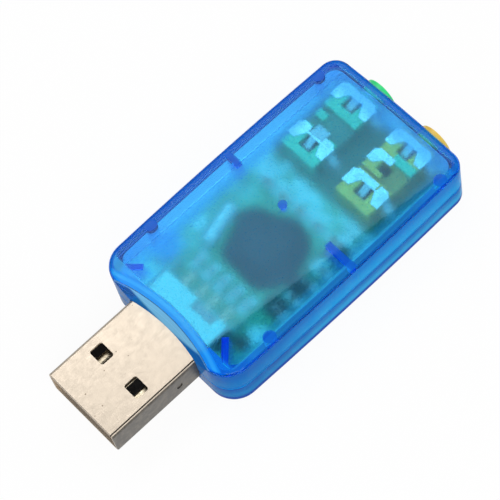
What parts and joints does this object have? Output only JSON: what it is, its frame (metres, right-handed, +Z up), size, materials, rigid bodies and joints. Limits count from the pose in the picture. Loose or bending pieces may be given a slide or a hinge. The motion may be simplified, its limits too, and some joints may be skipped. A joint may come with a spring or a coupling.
{
  "type": "usb sound card",
  "caption": "USB audio adapter: clear blue two-part case with a metal plug at one end, a green headphone and a yellow microphone socket at the other, circuit board inside.",
  "frame": {"origin": "bottom centre of the part's bounding box, the case lying on its lower shell", "axes": "+X from the plug's free end to the sockets, +Y towards the headphone socket's side, +Z up"},
  "size_m": [0.056, 0.024, 0.0086],
  "materials": {
    "clear_blue": "clear tinted, fine matt inside",
    "plug_nickel": "plated, fine brushed",
    "black_plastic": "moulded",
    "contact_gold": "plated",
    "board_green": "lacquered board",
    "socket_green": "moulded",
    "socket_yellow": "moulded",
    "clip_tin": "tinned strip",
    "chip_resin": "cast resin",
    "can_steel": "plated",
    "resistor_black": "plain",
    "capacitor_tan": "plain",
    "solder": "bright"
  },
  "bodies": {
    "root": {"upper_shell": "clear_blue", "lower_shell": "clear_blue", "usb_shell": "plug_nickel", "usb_insulator": "black_plastic", "usb_contacts": "contact_gold", "circuit_board": "board_green", "headphone_jack_body": "socket_green", "microphone_jack_body": "socket_yellow", "microphone_jack_insert": "socket_green", "headphone_front_contact": "clip_tin", "headphone_rear_contact": "clip_tin", "microphone_front_contact": "clip_tin", "microphone_middle_contact": "clip_tin", "microphone_rear_contact": "clip_tin", "chip_blob": "chip_resin", "crystal_can": "can_steel", "crystal_leads": "can_steel", "chip_resistors": "resistor_black", "ceramic_capacitors": "capacitor_tan", "plug_solder": "solder", "contact_solder": "solder", "jack_solder": "solder"}
  },
  "joints": []
}
